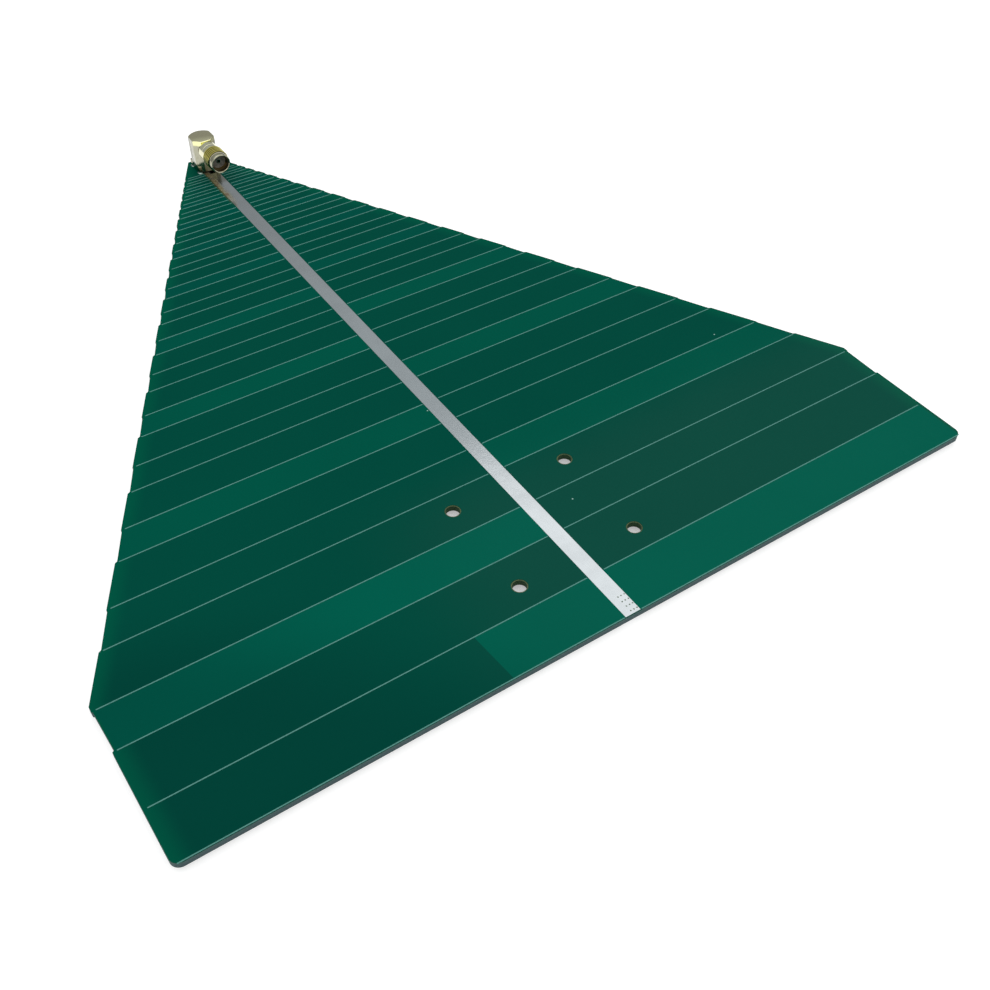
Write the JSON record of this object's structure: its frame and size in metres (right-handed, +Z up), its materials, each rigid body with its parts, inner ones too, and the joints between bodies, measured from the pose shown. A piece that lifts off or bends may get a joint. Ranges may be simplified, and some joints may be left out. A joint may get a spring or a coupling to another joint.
{
  "type": "log periodic antenna",
  "caption": "Flat log-periodic dipole antenna on a tapering green circuit board, fed through a right-angle threaded coaxial jack at its narrow end.",
  "frame": {"origin": "middle of the four mounting holes, on the underside of the bare laminate", "axes": "+X along the boom towards the narrow end with the jack, +Z up out of the face that carries the jack, +Y to the left of the boom seen from the rear"},
  "size_m": [0.2143, 0.2, 0.0135],
  "materials": {
    "laminate": "pale yellow-green glass-fibre laminate, sawn at the edge",
    "mask": "green solder mask, glossy",
    "tin": "copper foil, tinned dull where the mask leaves it open",
    "print": "thin pale legend ink over green mask",
    "gold": "pale gold plating, satin",
    "insulator": "dark grey insulator",
    "solder": "bright solder"
  },
  "bodies": {
    "root": {"laminate": "laminate", "top_copper": "tin", "bottom_copper": "tin", "top_mask": "mask", "bottom_mask": "mask", "outline_print": "print", "rear_vias": "tin", "jack_body": "gold", "jack_barrel": "gold", "barrel_insulator": "insulator", "centre_contact": "gold", "pin_insulator": "insulator", "feed_pin": "gold", "leg_solder": "solder", "pin_solder": "solder"}
  },
  "joints": []
}
